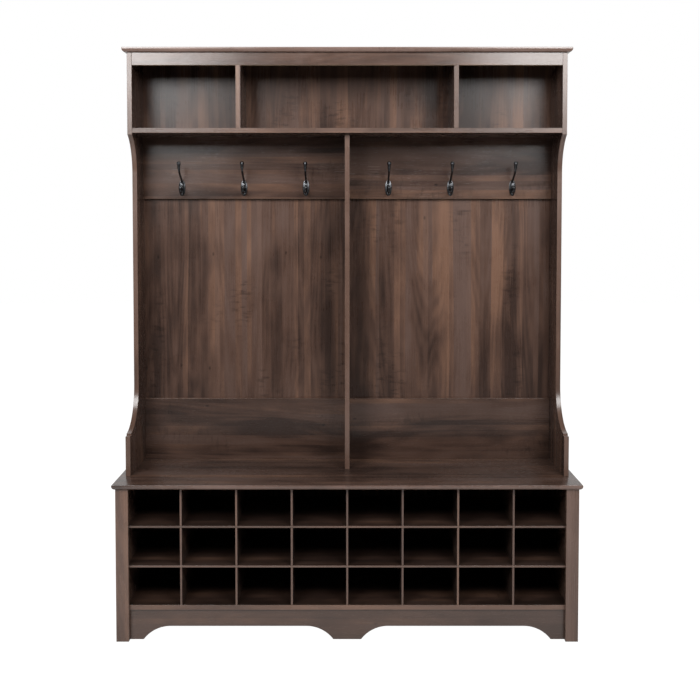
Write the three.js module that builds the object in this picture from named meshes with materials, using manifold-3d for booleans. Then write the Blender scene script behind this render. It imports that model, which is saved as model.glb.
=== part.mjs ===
// Hall tree: a shoe bench with a 24-hole cubby grid, and a hutch that stands on the bench top.
// Millimetres. X is to the right, Y runs from the front to the wall, Z is up.
// The origin is on the floor, at the middle of the bench top's outline.

import * as THREE from "three";
import { mergeVertices } from "three/addons/utils/BufferGeometryUtils.js";
import Module from "manifold-3d";

// ---- Overall sizes ----
const BENCH_WIDTH = 1524;
const OVERALL_DEPTH = 400;
const OVERALL_HEIGHT = 1954;
const SEAT_HEIGHT = 520;

// ---- Board stock ----
const BOARD = 16;
const GRID_BOARD = 6.4;
const BACK_BOARD = 3;

// ---- Clearances ----
const JOINT_GAP = 0.3;
const SCREW_CLEARANCE = 0.3;
const BACK_INSET = 1;

// ---- Moulded tops ----
const TOP_EDGE_RADIUS = 12;
const BENCH_TOP_SIDE_OVERHANG = 10;
const BENCH_TOP_FRONT_OVERHANG = 12;
const HUTCH_TOP_OVERHANG = 15;

// ---- Bench ----
const GLIDE_HEIGHT = 3;
const GLIDE_RADIUS = 7;
const GLIDE_FLAT_SHARE = 0.7;
const GLIDE_SHOULDER_SHARE = 0.95;
const GLIDE_SHOULDER_HEIGHT_SHARE = 0.35;
const GLIDE_END_INSET = 30;
const STILE_WIDTH = 41;
const STILE_OUTSET = 16;
const BOTTOM_SURFACE = 118.6;
const KICK_SETBACK = 5;
const SHOE_COLUMNS = 8;
const SHOE_ROWS = 3;
const GROOVE_DEPTH = 5;
const GROOVE_STOP = 12;

// ---- Kick board arches ----
const ARCH_TOP = 47;
const ARCH_RADIUS = 111;
const CENTRE_FOOT_HALF_WIDTH = 45.5;
const END_FOOT_WIDTH = 53;

// ---- Hutch ----
const HUTCH_INSET = 22;
const ARM_DEPTH = 279;
const ARM_RISE = 134;
const ARM_LEDGE_DEPTH = 18;
const ARM_RISER = 7;
const WAIST_DEPTH = 130;
const HEAD_DEPTH = 207;
const ARM_CURVE_RATIO = 1.13;
const HEAD_CURVE_RATIO = 1.82;
const HEAD_CURVE_DROP = 6;
const CENTRE_DIVIDER_DEPTH = 178;
const RAIL_HEIGHT = 218;
const UPPER_CUBBY_HEIGHT = 210.3;
const FASCIA_HEIGHT = 42;
const END_CUBBY_WIDTH = 348.8;

// ---- Coat hooks ----
const HOOKS_PER_BAY = 3;
const HOOK_PITCH = 220;
const HOOK_DROP = 179;
const PLATE_HEIGHT = 57;
const PLATE_WIDTH = 24;
const PLATE_THICKNESS = 4;
const PLATE_BEVEL = 1.4;
const ARM_RADIUS = 3.6;
const UPPER_REACH = 74;
const UPPER_RISE = 82;
const UPPER_BALL_RADIUS = 7.5;
const COLLAR_RADIUS = 5.6;
const COLLAR_LENGTH = 15;
const LOWER_REACH = 40;
const LOWER_DROP = 17;
const LOWER_BALL_RADIUS = 6;
const COLLAR_TILT = 0.2;
// The arms' paths, as shares of their reach out from the plate and of their rise or drop.
const UPPER_PATH = [[0.2, 0.36], [0.44, 0.46], [0.69, 0.56], [0.88, 0.69], [0.96, 0.84], [1, 1]];
const LOWER_PATH = [[0.4, 0.85], [0.72, 1], [0.95, 0.7], [1, 0]];
const UPPER_ROOT = 20.5;
const LOWER_ROOT = 6;
const LOWER_SCREW_EDGE = 7.5;
const UPPER_SCREW_EDGE = 19;
const SCREW_RADIUS = 1.8;
const SCREW_HEAD_RADIUS = 3.8;
const SCREW_HEAD_HEIGHT = 2.2;
const SCREW_TIP_COVER = 3;
const RECESS_WIDTH = 1;
const RECESS_SPAN = 4.2;
const RECESS_DEPTH = 1.2;

// ---- Sizes and planes worked out from those above ----
const ARM_LEDGE_HEIGHT = SEAT_HEIGHT + ARM_RISE;
const ARM_CURVE_RADIUS = ARM_CURVE_RATIO * (ARM_DEPTH - ARM_LEDGE_DEPTH - WAIST_DEPTH);
const HEAD_CURVE_RADIUS = HEAD_CURVE_RATIO * (HEAD_DEPTH - WAIST_DEPTH);
const SCREW_LENGTH = PLATE_THICKNESS + BOARD - SCREW_TIP_COVER;
const FRONT = -OVERALL_DEPTH / 2;
const WALL = OVERALL_DEPTH / 2;
const BACK_PLANE = WALL - BACK_BOARD - JOINT_GAP;
const GRID_FRONT = FRONT + BENCH_TOP_FRONT_OVERHANG + BOARD + JOINT_GAP;
const SEAT_UNDERSIDE = SEAT_HEIGHT - BOARD;
const BOTTOM_UNDERSIDE = BOTTOM_SURFACE - BOARD;
const STILE_OUTER = BENCH_WIDTH / 2 - BENCH_TOP_SIDE_OVERHANG;
const BENCH_GABLE_OUTER = STILE_OUTER - STILE_OUTSET;
const BENCH_GABLE_INNER = BENCH_GABLE_OUTER - BOARD;
const SHOE_PITCH = (2 * BENCH_GABLE_INNER + GRID_BOARD) / SHOE_COLUMNS;
const SHOE_ROW_HEIGHT = (SEAT_UNDERSIDE - BOTTOM_SURFACE - (SHOE_ROWS - 1) * GRID_BOARD) / SHOE_ROWS;
const GRID_MIDDLE = (GRID_FRONT + BACK_PLANE) / 2;
const SLOT_HALF = GRID_BOARD / 2 + JOINT_GAP;

const HUTCH_OUTER = BENCH_WIDTH / 2 - HUTCH_INSET;
const HUTCH_INNER = HUTCH_OUTER - BOARD;
const HUTCH_UNDERSIDE = OVERALL_HEIGHT - BOARD;
const SHELF_SURFACE = HUTCH_UNDERSIDE - FASCIA_HEIGHT - UPPER_CUBBY_HEIGHT;
const SHELF_UNDERSIDE = SHELF_SURFACE - BOARD;
const HEAD_FRONT = WALL - HEAD_DEPTH;
const RAIL_FRONT = BACK_PLANE - BOARD;
const BAY_CENTRE = (HUTCH_INNER + BOARD / 2) / 2;
const HOOK_HEIGHT = SHELF_UNDERSIDE - HOOK_DROP;
const HOOK_PLANE = RAIL_FRONT - JOINT_GAP;

// ---- Finishes ----
const finish = (color, roughness, metalness) => () =>
  new THREE.MeshStandardMaterial({ color, roughness, metalness });
const panelLaminate = finish(0x57443c, 0.45, 0);
const railLaminate = finish(0x4e3d36, 0.42, 0);
const topLaminate = finish(0x4a3730, 0.38, 0);
const edgeBand = finish(0x6e5c57, 0.4, 0);
const backLaminate = finish(0x574339, 0.5, 0);
const castBlack = finish(0x0d0d0e, 0.3, 0.6);
const screwSteel = finish(0x1a1a1b, 0.35, 0.8);
const glidePlastic = finish(0x2b2624, 0.6, 0);

// ---- Solids: three.js shapes, joined and cut by manifold-3d ----
const wasm = await Module();
wasm.setup();

function toSolid(geometry) {
  const bare = geometry.index ? geometry.toNonIndexed() : geometry.clone();
  bare.deleteAttribute("normal");
  bare.deleteAttribute("uv");
  const merged = mergeVertices(bare, 1e-4);
  return new wasm.Manifold(
    new wasm.Mesh({
      numProp: 3,
      vertProperties: new Float32Array(merged.attributes.position.array),
      triVerts: new Uint32Array(merged.index.array),
    })
  );
}

function toGeometry(solid) {
  const mesh = solid.getMesh();
  const geometry = new THREE.BufferGeometry();
  geometry.setAttribute("position", new THREE.BufferAttribute(mesh.vertProperties, 3));
  geometry.setIndex(new THREE.BufferAttribute(mesh.triVerts, 1));
  geometry.computeVertexNormals();
  return geometry;
}

function joined(geometries) {
  return geometries.map(toSolid).reduce((sum, solid) => sum.add(solid));
}

function cut(base, cutters) {
  return toGeometry(cutters.map(toSolid).reduce((rest, solid) => rest.subtract(solid), toSolid(base)));
}

// A box between two corners.
function block([x0, y0, z0], [x1, y1, z1]) {
  const geometry = new THREE.BoxGeometry(x1 - x0, y1 - y0, z1 - z0);
  return geometry.translate((x0 + x1) / 2, (y0 + y1) / 2, (z0 + z1) / 2);
}

function extruded(shape, depth, curveSegments = 10) {
  return new THREE.ExtrudeGeometry(shape, { depth, curveSegments, bevelEnabled: false });
}

// An outline drawn in (Y, Z), carried along X from x0 to x1.
function alongX(shape, x0, x1) {
  const turn = new THREE.Matrix4().makeBasis(
    new THREE.Vector3(0, 1, 0),
    new THREE.Vector3(0, 0, 1),
    new THREE.Vector3(1, 0, 0)
  );
  return extruded(shape, x1 - x0).applyMatrix4(turn).translate(x0, 0, 0);
}

// An outline drawn in (X, Z), carried along Y from y0 to y1.
function alongY(shape, y0, y1) {
  const turn = new THREE.Matrix4().makeBasis(
    new THREE.Vector3(1, 0, 0),
    new THREE.Vector3(0, 0, 1),
    new THREE.Vector3(0, -1, 0)
  );
  return extruded(shape, y1 - y0).applyMatrix4(turn).translate(0, y1, 0);
}

// An outline drawn in (X, Y), carried up from z0 to z1.
function alongZ(shape, z0, z1) {
  return extruded(shape, z1 - z0).translate(0, 0, z0);
}

function outline(points) {
  return new THREE.Shape(points.map(([u, v]) => new THREE.Vector2(u, v)));
}

// ---- The object ----
const hallTree = new THREE.Group();
const bench = new THREE.Group();
const hutch = new THREE.Group();
hallTree.add(bench, hutch);

function place(group, name, geometry, material) {
  const mesh = new THREE.Mesh(geometry, material());
  mesh.name = name;
  group.add(mesh);
  return mesh;
}

// A top whose lower edge is rounded at the front and at both ends. It is the common part of
// a front-to-back section and an end-to-end section, so the two mouldings meet in mitres.
function mouldedTop(width, front, surface) {
  const r = Math.min(TOP_EDGE_RADIUS, BOARD - 1);
  const underside = surface - BOARD;
  const side = new THREE.Shape();
  side.moveTo(WALL, underside);
  side.lineTo(WALL, surface);
  side.lineTo(front, surface);
  side.lineTo(front, underside + r);
  side.absarc(front + r, underside + r, r, Math.PI, 1.5 * Math.PI, false);
  side.lineTo(WALL, underside);
  const end = new THREE.Shape();
  end.moveTo(-width / 2, surface);
  end.lineTo(-width / 2, underside + r);
  end.absarc(-width / 2 + r, underside + r, r, Math.PI, 1.5 * Math.PI, false);
  end.lineTo(width / 2 - r, underside);
  end.absarc(width / 2 - r, underside + r, r, 1.5 * Math.PI, 2 * Math.PI, false);
  end.lineTo(width / 2, surface);
  end.lineTo(-width / 2, surface);
  return toSolid(alongX(side, -width / 2, width / 2)).intersect(toSolid(alongY(end, front, WALL)));
}

// ---- Bench: carcass ----
const shoeDividerCentres = Array.from(
  { length: SHOE_COLUMNS - 1 },
  (_, i) => (i + 1 - SHOE_COLUMNS / 2) * SHOE_PITCH
);
const shoeShelfUndersides = Array.from(
  { length: SHOE_ROWS - 1 },
  (_, i) => BOTTOM_SURFACE + (i + 1) * SHOE_ROW_HEIGHT + i * GRID_BOARD
);

// Stopped grooves that hold the upright grid boards, cut upwards or downwards from a face.
function uprightGrooves(z0, z1) {
  return shoeDividerCentres.map((x) =>
    block([x - SLOT_HALF, GRID_FRONT + GROOVE_STOP, z0], [x + SLOT_HALF, WALL - BACK_BOARD, z1])
  );
}

function addBenchTop() {
  const grooves = uprightGrooves(SEAT_UNDERSIDE - 1, SEAT_UNDERSIDE + GROOVE_DEPTH).map(toSolid);
  const top = mouldedTop(BENCH_WIDTH, FRONT, SEAT_HEIGHT);
  const grooved = grooves.reduce((rest, groove) => rest.subtract(groove), top);
  place(bench, "bench_top", toGeometry(grooved), topLaminate);
}

function addBenchSide(name, side) {
  const faces = [side * BENCH_GABLE_INNER, side * BENCH_GABLE_OUTER].sort((a, b) => a - b);
  const top = SEAT_UNDERSIDE - JOINT_GAP;
  const gable = block([faces[0], GRID_FRONT, GLIDE_HEIGHT], [faces[1], BACK_PLANE, top]);
  const bottomOfGroove = side * (BENCH_GABLE_INNER + GROOVE_DEPTH);
  const mouthOfGroove = side * (BENCH_GABLE_INNER - 1);
  const x = [bottomOfGroove, mouthOfGroove].sort((a, b) => a - b);
  const grooves = shoeShelfUndersides.map((z) =>
    block([x[0], GRID_FRONT - 1, z - JOINT_GAP], [x[1], BACK_PLANE + 1, z + GRID_BOARD + JOINT_GAP])
  );
  place(bench, `bench_gable_${name}`, cut(gable, grooves), panelLaminate);

  const stile = [side * STILE_OUTER, side * (STILE_OUTER - STILE_WIDTH)].sort((a, b) => a - b);
  const stileFront = FRONT + BENCH_TOP_FRONT_OVERHANG;
  const upright = block([stile[0], stileFront, GLIDE_HEIGHT], [stile[1], stileFront + BOARD, top]);
  place(bench, `stile_${name}`, upright, edgeBand);

  const middle = (side * (BENCH_GABLE_INNER + BENCH_GABLE_OUTER)) / 2;
  const ends = { front: GRID_FRONT + GLIDE_END_INSET, rear: BACK_PLANE - GLIDE_END_INSET };
  for (const [end, y] of Object.entries(ends)) addGlide(`glide_${name}_${end}`, middle, y);
}

// A nail-on glide: a shallow dome, flat where it meets the board.
function addGlide(name, x, y) {
  const top = GLIDE_HEIGHT - JOINT_GAP;
  const profile = [
    new THREE.Vector2(0, 0),
    new THREE.Vector2(GLIDE_RADIUS * GLIDE_FLAT_SHARE, 0),
    new THREE.Vector2(GLIDE_RADIUS * GLIDE_SHOULDER_SHARE, top * GLIDE_SHOULDER_HEIGHT_SHARE),
    new THREE.Vector2(GLIDE_RADIUS, top),
    new THREE.Vector2(0, top),
  ];
  const glide = new THREE.LatheGeometry(profile, 20).rotateX(Math.PI / 2);
  const mesh = place(bench, name, toGeometry(toSolid(glide)), glidePlastic);
  mesh.position.set(x, y, 0);
}

function addBenchBottom() {
  const half = BENCH_GABLE_INNER - JOINT_GAP;
  const board = block([-half, GRID_FRONT, BOTTOM_UNDERSIDE], [half, BACK_PLANE, BOTTOM_SURFACE]);
  const grooves = uprightGrooves(BOTTOM_SURFACE - GROOVE_DEPTH, BOTTOM_SURFACE + 1);
  place(bench, "bench_bottom", cut(board, grooves), panelLaminate);
}

// One arch: level along its top, with an arc at each end that meets the level part smoothly.
function archTo(shape, from, to) {
  const centreHeight = ARCH_TOP - ARCH_RADIUS;
  const angle = Math.asin((GLIDE_HEIGHT - centreHeight) / ARCH_RADIUS);
  const run = ARCH_RADIUS * Math.cos(angle);
  shape.lineTo(from, GLIDE_HEIGHT);
  shape.absarc(from + run, centreHeight, ARCH_RADIUS, Math.PI - angle, Math.PI / 2, true);
  shape.absarc(to - run, centreHeight, ARCH_RADIUS, Math.PI / 2, angle, true);
}

function addKickBoards() {
  const half = BENCH_GABLE_INNER - JOINT_GAP;
  const top = BOTTOM_UNDERSIDE - JOINT_GAP;
  const shape = new THREE.Shape();
  shape.moveTo(-half, GLIDE_HEIGHT);
  archTo(shape, -half + END_FOOT_WIDTH, -CENTRE_FOOT_HALF_WIDTH);
  archTo(shape, CENTRE_FOOT_HALF_WIDTH, half - END_FOOT_WIDTH);
  shape.lineTo(half, GLIDE_HEIGHT);
  shape.lineTo(half, top);
  shape.lineTo(-half, top);
  shape.lineTo(-half, GLIDE_HEIGHT);
  const kickFront = GRID_FRONT + KICK_SETBACK;
  place(bench, "kick_board", alongY(shape, kickFront, kickFront + BOARD), panelLaminate);

  const rearFront = BACK_PLANE - BOARD;
  const rear = block([-half, rearFront, GLIDE_HEIGHT], [half, BACK_PLANE, top]);
  place(bench, "rear_kick_board", rear, panelLaminate);
  const support = block(
    [-BOARD / 2, kickFront + BOARD + JOINT_GAP, GLIDE_HEIGHT],
    [BOARD / 2, rearFront - JOINT_GAP, top]
  );
  place(bench, "centre_support", support, panelLaminate);
  addGlide("glide_centre", 0, GRID_MIDDLE);
}

function addBenchBack() {
  const half = BENCH_GABLE_OUTER - BACK_INSET;
  const top = SEAT_UNDERSIDE - JOINT_GAP;
  const back = block([-half, WALL - BACK_BOARD, BOTTOM_UNDERSIDE], [half, WALL, top]);
  place(bench, "bench_back", back, backLaminate);
}

// ---- Bench: the grid of thin boards, half-lapped where they cross ----
function addShoeDivider(number, x) {
  const shelfSlots = shoeShelfUndersides.flatMap((z) => [
    [GRID_FRONT, z - JOINT_GAP],
    [GRID_MIDDLE + JOINT_GAP, z - JOINT_GAP],
    [GRID_MIDDLE + JOINT_GAP, z + GRID_BOARD + JOINT_GAP],
    [GRID_FRONT, z + GRID_BOARD + JOINT_GAP],
  ]);
  const shoulder = GRID_FRONT + GROOVE_STOP + JOINT_GAP;
  const low = BOTTOM_SURFACE;
  const high = SEAT_UNDERSIDE;
  const tongue = GROOVE_DEPTH - JOINT_GAP;
  const shape = outline([
    [GRID_FRONT, low + JOINT_GAP],
    ...shelfSlots,
    [GRID_FRONT, high - JOINT_GAP],
    [shoulder, high - JOINT_GAP],
    [shoulder, high + tongue],
    [BACK_PLANE, high + tongue],
    [BACK_PLANE, low - tongue],
    [shoulder, low - tongue],
    [shoulder, low + JOINT_GAP],
  ]);
  const board = alongX(shape, x - GRID_BOARD / 2, x + GRID_BOARD / 2);
  place(bench, `shoe_divider_${number}`, board, edgeBand);
}

function addShoeShelf(name, z) {
  const half = BENCH_GABLE_INNER + GROOVE_DEPTH - JOINT_GAP;
  const dividerSlots = [...shoeDividerCentres].reverse().flatMap((x) => [
    [x + SLOT_HALF, BACK_PLANE],
    [x + SLOT_HALF, GRID_MIDDLE - JOINT_GAP],
    [x - SLOT_HALF, GRID_MIDDLE - JOINT_GAP],
    [x - SLOT_HALF, BACK_PLANE],
  ]);
  const shape = outline([
    [-half, GRID_FRONT],
    [half, GRID_FRONT],
    [half, BACK_PLANE],
    ...dividerSlots,
    [-half, BACK_PLANE],
  ]);
  place(bench, name, alongZ(shape, z, z + GRID_BOARD), edgeBand);
}

// ---- Hutch: boards ----
// The side of the hutch: an arm at the bottom with a small ledge, a hollow curve up to the
// narrow waist, and a second hollow curve out to the head that carries the shelf.
function addHutchGable(name, side) {
  const waist = WALL - WAIST_DEPTH;
  const armFront = WALL - ARM_DEPTH;
  const curveFoot = ARM_LEDGE_HEIGHT + ARM_RISER;
  const lowCentreY = waist - ARM_CURVE_RADIUS;
  const lowAngle = Math.acos((armFront + ARM_LEDGE_DEPTH - lowCentreY) / ARM_CURVE_RADIUS);
  const lowCentreZ = curveFoot + ARM_CURVE_RADIUS * Math.sin(lowAngle);
  const highCentreY = waist - HEAD_CURVE_RADIUS;
  const highAngle = Math.acos((HEAD_FRONT - highCentreY) / HEAD_CURVE_RADIUS);
  const highCentreZ = SHELF_UNDERSIDE - HEAD_CURVE_DROP - HEAD_CURVE_RADIUS * Math.sin(highAngle);
  const shape = new THREE.Shape();
  shape.moveTo(BACK_PLANE, SEAT_HEIGHT + JOINT_GAP);
  shape.lineTo(BACK_PLANE, HUTCH_UNDERSIDE - JOINT_GAP);
  shape.lineTo(HEAD_FRONT, HUTCH_UNDERSIDE - JOINT_GAP);
  shape.lineTo(HEAD_FRONT, SHELF_UNDERSIDE - HEAD_CURVE_DROP);
  shape.absarc(highCentreY, highCentreZ, HEAD_CURVE_RADIUS, highAngle, 0, true);
  shape.absarc(lowCentreY, lowCentreZ, ARM_CURVE_RADIUS, 0, -lowAngle, true);
  shape.lineTo(armFront + ARM_LEDGE_DEPTH, ARM_LEDGE_HEIGHT);
  shape.lineTo(armFront, ARM_LEDGE_HEIGHT);
  shape.lineTo(armFront, SEAT_HEIGHT + JOINT_GAP);
  shape.lineTo(BACK_PLANE, SEAT_HEIGHT + JOINT_GAP);
  const faces = [side * HUTCH_INNER, side * HUTCH_OUTER].sort((a, b) => a - b);
  place(hutch, `hutch_gable_${name}`, alongX(shape, faces[0], faces[1]), panelLaminate);
}

function addHutchHead() {
  const topWidth = 2 * (HUTCH_OUTER + HUTCH_TOP_OVERHANG);
  const top = mouldedTop(topWidth, HEAD_FRONT - HUTCH_TOP_OVERHANG, OVERALL_HEIGHT);
  place(hutch, "hutch_top", toGeometry(top), topLaminate);

  const half = HUTCH_INNER - JOINT_GAP;
  const fasciaFoot = HUTCH_UNDERSIDE - FASCIA_HEIGHT;
  const fasciaTop = HUTCH_UNDERSIDE - JOINT_GAP;
  const fascia = block([-half, HEAD_FRONT, fasciaFoot], [half, HEAD_FRONT + BOARD, fasciaTop]);
  place(hutch, "top_fascia", fascia, railLaminate);
  const shelf = block([-half, HEAD_FRONT, SHELF_UNDERSIDE], [half, BACK_PLANE, SHELF_SURFACE]);
  place(hutch, "hutch_shelf", shelf, edgeBand);
}

// An upright between the small compartments, notched at its top front corner for the fascia.
function addCubbyDivider(name, side) {
  const x = side * (HUTCH_INNER - END_CUBBY_WIDTH - BOARD / 2);
  const notchBack = HEAD_FRONT + BOARD + JOINT_GAP;
  const notchFoot = HUTCH_UNDERSIDE - FASCIA_HEIGHT - JOINT_GAP;
  const shape = outline([
    [BACK_PLANE, SHELF_SURFACE + JOINT_GAP],
    [BACK_PLANE, HUTCH_UNDERSIDE - JOINT_GAP],
    [notchBack, HUTCH_UNDERSIDE - JOINT_GAP],
    [notchBack, notchFoot],
    [HEAD_FRONT, notchFoot],
    [HEAD_FRONT, SHELF_SURFACE + JOINT_GAP],
  ]);
  place(hutch, `cubby_divider_${name}`, alongX(shape, x - BOARD / 2, x + BOARD / 2), panelLaminate);
}

function addCentreDivider() {
  const divider = block(
    [-BOARD / 2, WALL - CENTRE_DIVIDER_DEPTH, SEAT_HEIGHT + JOINT_GAP],
    [BOARD / 2, BACK_PLANE, SHELF_UNDERSIDE - JOINT_GAP]
  );
  place(hutch, "centre_divider", divider, panelLaminate);
}

function addHutchBacks() {
  const outer = HUTCH_OUTER - BACK_INSET;
  const seam = SHELF_UNDERSIDE + BOARD / 2;
  const front = WALL - BACK_BOARD;
  const head = block([-outer, front, seam], [outer, WALL, HUTCH_UNDERSIDE - JOINT_GAP]);
  place(hutch, "hutch_back_upper", head, backLaminate);
  const foot = SEAT_HEIGHT + JOINT_GAP;
  const top = seam - JOINT_GAP;
  const seamHalf = JOINT_GAP / 2;
  place(hutch, "hutch_back_left", block([-outer, front, foot], [-seamHalf, WALL, top]), backLaminate);
  place(hutch, "hutch_back_right", block([seamHalf, front, foot], [outer, WALL, top]), backLaminate);
}

// ---- Hutch: rails, with pilot holes where the hooks are screwed on ----
const screwOffsets = {
  upper: PLATE_HEIGHT / 2 - UPPER_SCREW_EDGE,
  lower: LOWER_SCREW_EDGE - PLATE_HEIGHT / 2,
};

function hookPositions(side) {
  const steps = Array.from({ length: HOOKS_PER_BAY }, (_, i) => i - (HOOKS_PER_BAY - 1) / 2);
  return steps.map((step) => side * BAY_CENTRE + step * HOOK_PITCH);
}

function screwHole(radius, x, y0, y1, z) {
  const hole = new THREE.CylinderGeometry(radius, radius, y1 - y0, 12);
  return hole.translate(x, (y0 + y1) / 2, z);
}

function addRails(name, side) {
  const x = [side * (HUTCH_INNER - JOINT_GAP), side * (BOARD / 2 + JOINT_GAP)].sort((a, b) => a - b);
  const top = SHELF_UNDERSIDE - JOINT_GAP;
  const hookRail = block([x[0], RAIL_FRONT, SHELF_UNDERSIDE - RAIL_HEIGHT], [x[1], BACK_PLANE, top]);
  const holes = hookPositions(side).flatMap((hookX) =>
    Object.values(screwOffsets).map((offset) =>
      screwHole(
        SCREW_RADIUS + SCREW_CLEARANCE,
        hookX,
        RAIL_FRONT - 1,
        HOOK_PLANE - PLATE_THICKNESS + SCREW_LENGTH + 1,
        HOOK_HEIGHT + offset
      )
    )
  );
  place(hutch, `hook_rail_${name}`, cut(hookRail, holes), railLaminate);
  const foot = SEAT_HEIGHT + JOINT_GAP;
  const lowerRail = block([x[0], RAIL_FRONT, foot], [x[1], BACK_PLANE, SEAT_HEIGHT + RAIL_HEIGHT]);
  place(hutch, `lower_rail_${name}`, lowerRail, railLaminate);
}

// ---- Coat hooks: cast in one piece, drawn with the plate's back at y = 0 ----
// A rod of round section along a smooth path in the (Y, Z) plane.
function rod(points, radius, steps) {
  const path = new THREE.CatmullRomCurve3(points.map(([y, z]) => new THREE.Vector3(0, y, z)));
  const section = new THREE.Shape().absarc(0, 0, radius, 0, 2 * Math.PI, false);
  return new THREE.ExtrudeGeometry(section, { steps, extrudePath: path, curveSegments: 4 });
}

function ball(radius, y, z) {
  return new THREE.SphereGeometry(radius, 12, 8).translate(0, y, z);
}

function hookGeometry() {
  const plateShape = new THREE.Shape();
  const halfWidth = PLATE_WIDTH / 2 - PLATE_BEVEL;
  const halfHeight = PLATE_HEIGHT / 2 - PLATE_BEVEL;
  plateShape.absellipse(0, 0, halfWidth, halfHeight, 0, 2 * Math.PI, false);
  const plate = new THREE.ExtrudeGeometry(plateShape, {
    depth: PLATE_THICKNESS - PLATE_BEVEL,
    bevelThickness: PLATE_BEVEL,
    bevelSize: PLATE_BEVEL,
    bevelSegments: 1,
    curveSegments: 12,
  });
  plate.rotateX(Math.PI / 2);
  const wide = PLATE_WIDTH;
  const keep = block([-wide, -PLATE_THICKNESS, -PLATE_HEIGHT], [wide, 0, PLATE_HEIGHT]);

  const root = -0.6 * PLATE_THICKNESS;
  const upperPath = UPPER_PATH.map(([out, up]) => [-out * UPPER_REACH, up * UPPER_RISE]);
  const upperArm = rod([[root, UPPER_ROOT], ...upperPath], ARM_RADIUS, 16);
  const collar = new THREE.CylinderGeometry(COLLAR_RADIUS, ARM_RADIUS, COLLAR_LENGTH, 12);
  collar.translate(0, -COLLAR_LENGTH / 2, 0);
  collar.rotateX(Math.PI / 2 - COLLAR_TILT);
  collar.translate(0, -UPPER_REACH, UPPER_RISE);
  const lowerPath = LOWER_PATH.map(([out, down]) => [-out * LOWER_REACH, -down * LOWER_DROP]);
  const lowerArm = rod([[root, -LOWER_ROOT], ...lowerPath], ARM_RADIUS, 12);
  const casting = joined([
    upperArm,
    collar,
    lowerArm,
    ball(UPPER_BALL_RADIUS, -UPPER_REACH, UPPER_RISE),
    ball(LOWER_BALL_RADIUS, -LOWER_REACH, 0),
  ]);
  const body = toSolid(plate).intersect(toSolid(keep)).add(casting);
  const holes = Object.values(screwOffsets).flatMap((z) => [
    screwHole(SCREW_RADIUS + SCREW_CLEARANCE, 0, -PLATE_THICKNESS - 1, 1, z),
    screwHole(
      SCREW_HEAD_RADIUS + SCREW_CLEARANCE,
      0,
      -PLATE_THICKNESS - 1,
      SCREW_HEAD_HEIGHT - PLATE_THICKNESS + SCREW_CLEARANCE,
      z
    ),
  ]);
  return toGeometry(holes.map(toSolid).reduce((rest, hole) => rest.subtract(hole), body));
}

// A countersunk wood screw with a cross recess. Its head is flush with the plate's face.
function screwGeometry() {
  const profile = [
    new THREE.Vector2(0, 0),
    new THREE.Vector2(SCREW_HEAD_RADIUS, 0),
    new THREE.Vector2(SCREW_RADIUS, SCREW_HEAD_HEIGHT),
    new THREE.Vector2(SCREW_RADIUS, SCREW_LENGTH - 3 * SCREW_RADIUS),
    new THREE.Vector2(0, SCREW_LENGTH),
  ];
  const screw = new THREE.LatheGeometry(profile, 12);
  const arms = [
    [RECESS_SPAN, RECESS_WIDTH],
    [RECESS_WIDTH, RECESS_SPAN],
  ].map(([w, h]) => block([-w / 2, -1, -h / 2], [w / 2, RECESS_DEPTH, h / 2]));
  return cut(screw, arms);
}

function addHooks() {
  const positions = [...hookPositions(-1), ...hookPositions(1)];
  positions.forEach((x, i) => {
    const hook = place(hutch, `hook_${i + 1}`, hookGeometry(), castBlack);
    hook.position.set(x, HOOK_PLANE, HOOK_HEIGHT);
    for (const [end, offset] of Object.entries(screwOffsets)) {
      const screw = place(hutch, `hook_${i + 1}_screw_${end}`, screwGeometry(), screwSteel);
      screw.position.set(x, HOOK_PLANE - PLATE_THICKNESS, HOOK_HEIGHT + offset);
    }
  });
}

// ---- Assembly ----
const SIDES = { left: -1, right: 1 };

addBenchTop();
addBenchBottom();
addKickBoards();
addBenchBack();
for (const [name, side] of Object.entries(SIDES)) addBenchSide(name, side);
shoeDividerCentres.forEach((x, i) => addShoeDivider(i + 1, x));
const shelfNames = ["shoe_shelf_lower", "shoe_shelf_upper"];
shoeShelfUndersides.forEach((z, i) => addShoeShelf(shelfNames[i], z));

addHutchHead();
addCentreDivider();
addHutchBacks();
for (const [name, side] of Object.entries(SIDES)) {
  addHutchGable(name, side);
  addCubbyDivider(name, side);
  addRails(name, side);
}
addHooks();

export default hallTree;
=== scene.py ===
"""Hall tree with a shoe bench, a hutch and six double coat hooks, finished in walnut-grain laminate.

Every length is in metres. X runs to the right, Y from the front to the wall and Z up. Each piece takes its
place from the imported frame, and each sub-assembly is a class that builds its boards and dresses them.
"""

import logging
import math
from collections.abc import Iterable, Sequence
from dataclasses import dataclass, field
from enum import Enum

import bpy
import numpy as np
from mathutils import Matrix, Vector


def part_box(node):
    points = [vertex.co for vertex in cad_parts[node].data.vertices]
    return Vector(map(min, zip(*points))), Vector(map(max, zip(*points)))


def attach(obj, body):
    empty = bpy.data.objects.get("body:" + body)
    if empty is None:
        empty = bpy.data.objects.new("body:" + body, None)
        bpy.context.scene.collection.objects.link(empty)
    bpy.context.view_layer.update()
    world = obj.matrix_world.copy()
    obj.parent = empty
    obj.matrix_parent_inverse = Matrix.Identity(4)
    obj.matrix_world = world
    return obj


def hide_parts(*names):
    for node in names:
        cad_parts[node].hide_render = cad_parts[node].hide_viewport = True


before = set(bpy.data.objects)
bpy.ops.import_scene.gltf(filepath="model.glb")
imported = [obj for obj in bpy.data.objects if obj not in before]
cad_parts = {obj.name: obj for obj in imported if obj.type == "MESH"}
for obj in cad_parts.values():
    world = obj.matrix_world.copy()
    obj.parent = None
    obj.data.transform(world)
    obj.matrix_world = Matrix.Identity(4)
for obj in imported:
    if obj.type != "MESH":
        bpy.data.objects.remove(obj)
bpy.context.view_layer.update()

log = logging.getLogger("hall_tree")

Colour = tuple[float, float, float]
Span = tuple[float, float]
BODY = "root"
MM = 0.001

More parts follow.
